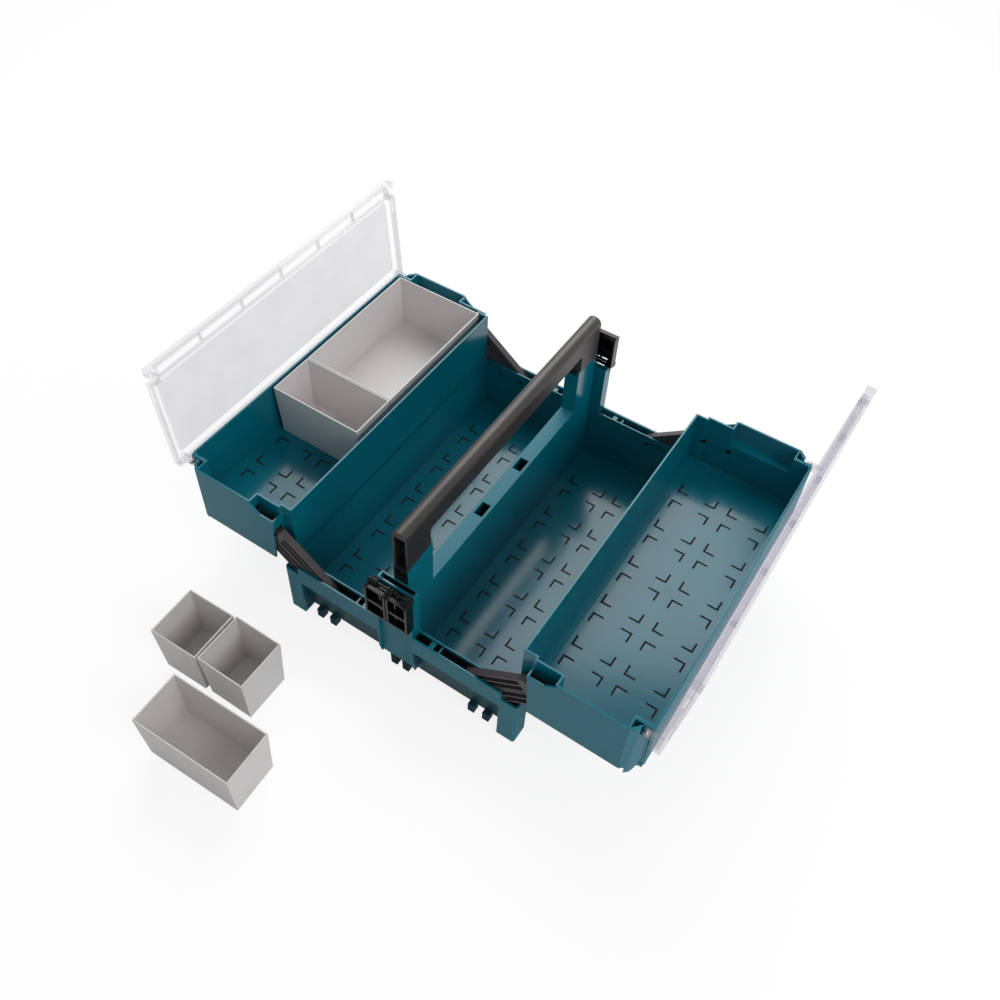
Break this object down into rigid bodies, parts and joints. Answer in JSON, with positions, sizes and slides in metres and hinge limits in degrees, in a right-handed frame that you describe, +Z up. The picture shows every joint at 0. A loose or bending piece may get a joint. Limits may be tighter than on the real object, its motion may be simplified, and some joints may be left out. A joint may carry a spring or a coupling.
{
  "type": "stackable tool case",
  "caption": "Open stackable tool case: lower tub with a carrying grip, upper trays that swing out on parallel arms, clear hinged lids, flip latches and loose tapered insert bins.",
  "frame": {"origin": "middle of the lower tub's footprint, on the floor plane (z = 0 is the face the case stands on)", "axes": "+X across the case toward the right tray, +Y along the grip away from the viewer, +Z up"},
  "size_m": [0.6045, 0.6255, 0.2844],
  "materials": {
    "teal_plastic": "satin",
    "dark_plastic": "satin",
    "black_plastic": "satin",
    "clear_plastic": "gloss",
    "bin_plastic": "matte",
    "steel": "satin"
  },
  "bodies": {
    "case": {"base_shell": "teal_plastic", "bridge": "teal_plastic", "grip": "dark_plastic", "lower_pins": "steel", "latch_pins": "black_plastic"},
    "near_right_latch": {"latch_near_right": "black_plastic"},
    "near_left_latch": {"latch_near_left": "black_plastic"},
    "far_right_latch": {"latch_far_right": "black_plastic"},
    "far_left_latch": {"latch_far_left": "black_plastic"},
    "right_inner_arms": {"arm_inner_near_right": "dark_plastic", "arm_inner_far_right": "dark_plastic"},
    "right_outer_arms": {"arm_outer_near_right": "dark_plastic", "arm_outer_far_right": "dark_plastic"},
    "right_tray": {"tray_right": "teal_plastic", "upper_pins_right": "steel", "hinge_pins_right": "steel"},
    "right_lid": {"lid_right": "clear_plastic"},
    "left_inner_arms": {"arm_inner_near_left": "dark_plastic", "arm_inner_far_left": "dark_plastic"},
    "left_outer_arms": {"arm_outer_near_left": "dark_plastic", "arm_outer_far_left": "dark_plastic"},
    "left_tray": {"tray_left": "teal_plastic", "upper_pins_left": "steel", "hinge_pins_left": "steel"},
    "left_lid": {"lid_left": "clear_plastic"},
    "large_bin": {"bin_large": "bin_plastic"},
    "medium_tray_bin": {"bin_medium_tray": "bin_plastic"},
    "medium_floor_bin": {"bin_medium_floor": "bin_plastic"},
    "small_a_bin": {"bin_small_a": "bin_plastic"},
    "small_b_bin": {"bin_small_b": "bin_plastic"}
  },
  "joints": [
    {"name": "near_right_latch_flip", "type": "hinge", "parent": "case", "child": "near_right_latch", "pos_m": [0.013, -0.2, 0.159], "axis": [-1, 0, 0], "range_deg": [0, 180]},
    {"name": "near_left_latch_flip", "type": "hinge", "parent": "case", "child": "near_left_latch", "pos_m": [-0.013, -0.2, 0.159], "axis": [-1, 0, 0], "range_deg": [0, 180]},
    {"name": "far_right_latch_flip", "type": "hinge", "parent": "case", "child": "far_right_latch", "pos_m": [0.013, 0.2, 0.159], "axis": [1, 0, 0], "range_deg": [-180, 0]},
    {"name": "far_left_latch_flip", "type": "hinge", "parent": "case", "child": "far_left_latch", "pos_m": [-0.013, 0.2, 0.159], "axis": [1, 0, 0], "range_deg": [0, 180]},
    {"name": "right_swing", "type": "hinge", "parent": "case", "child": "right_inner_arms", "pos_m": [0.08959, 0, 0.07404], "axis": [0, -1, 0], "range_deg": [0, 101]},
    {"name": "right_outer_arm_swing", "type": "hinge", "parent": "case", "child": "right_outer_arms", "pos_m": [0.11959, 0, 0.07404], "axis": [0, -1, 0], "range_deg": [0, 101]},
    {"name": "right_tray_level", "type": "hinge", "parent": "right_inner_arms", "child": "right_tray", "pos_m": [0.156, 0, 0.125], "axis": [0, -1, 0], "range_deg": [-101, 0]},
    {"name": "right_lid_hinge", "type": "hinge", "parent": "right_tray", "child": "right_lid", "pos_m": [0.2725, 0, 0.156], "axis": [0, -1, 0], "range_deg": [0, 96]},
    {"name": "left_swing", "type": "hinge", "parent": "case", "child": "left_inner_arms", "pos_m": [-0.08959, 0, 0.07404], "axis": [0, 1, 0], "range_deg": [0, 101]},
    {"name": "left_outer_arm_swing", "type": "hinge", "parent": "case", "child": "left_outer_arms", "pos_m": [-0.11959, 0, 0.07404], "axis": [0, 1, 0], "range_deg": [0, 101]},
    {"name": "left_tray_level", "type": "hinge", "parent": "left_inner_arms", "child": "left_tray", "pos_m": [-0.156, 0, 0.125], "axis": [0, 1, 0], "range_deg": [-101, 0]},
    {"name": "left_lid_hinge", "type": "hinge", "parent": "left_tray", "child": "left_lid", "pos_m": [-0.2725, 0, 0.156], "axis": [0, 1, 0], "range_deg": [0, 94.5]},
    {"name": "large_lift", "type": "slide", "parent": "left_tray", "child": "large_bin", "axis": [0, 0, -1], "range_m": [-0.12, 0]},
    {"name": "medium_tray_lift", "type": "slide", "parent": "left_tray", "child": "medium_tray_bin", "axis": [0, 0, -1], "range_m": [-0.12, 0]},
    {"name": "medium_floor_lift", "type": "slide", "parent": "case", "child": "medium_floor_bin", "axis": [0, 0, -1], "range_m": [-0.12, 0]},
    {"name": "small_a_lift", "type": "slide", "parent": "case", "child": "small_a_bin", "axis": [0, 0, -1], "range_m": [-0.12, 0]},
    {"name": "small_b_lift", "type": "slide", "parent": "case", "child": "small_b_bin", "axis": [0, 0, -1], "range_m": [-0.12, 0]}
  ],
  "couplings": [
    {"joint": "right_outer_arm_swing", "follows": "right_swing", "ratio": 1},
    {"joint": "right_tray_level", "follows": "right_swing", "ratio": -1},
    {"joint": "left_outer_arm_swing", "follows": "left_swing", "ratio": 1},
    {"joint": "left_tray_level", "follows": "left_swing", "ratio": -1}
  ]
}
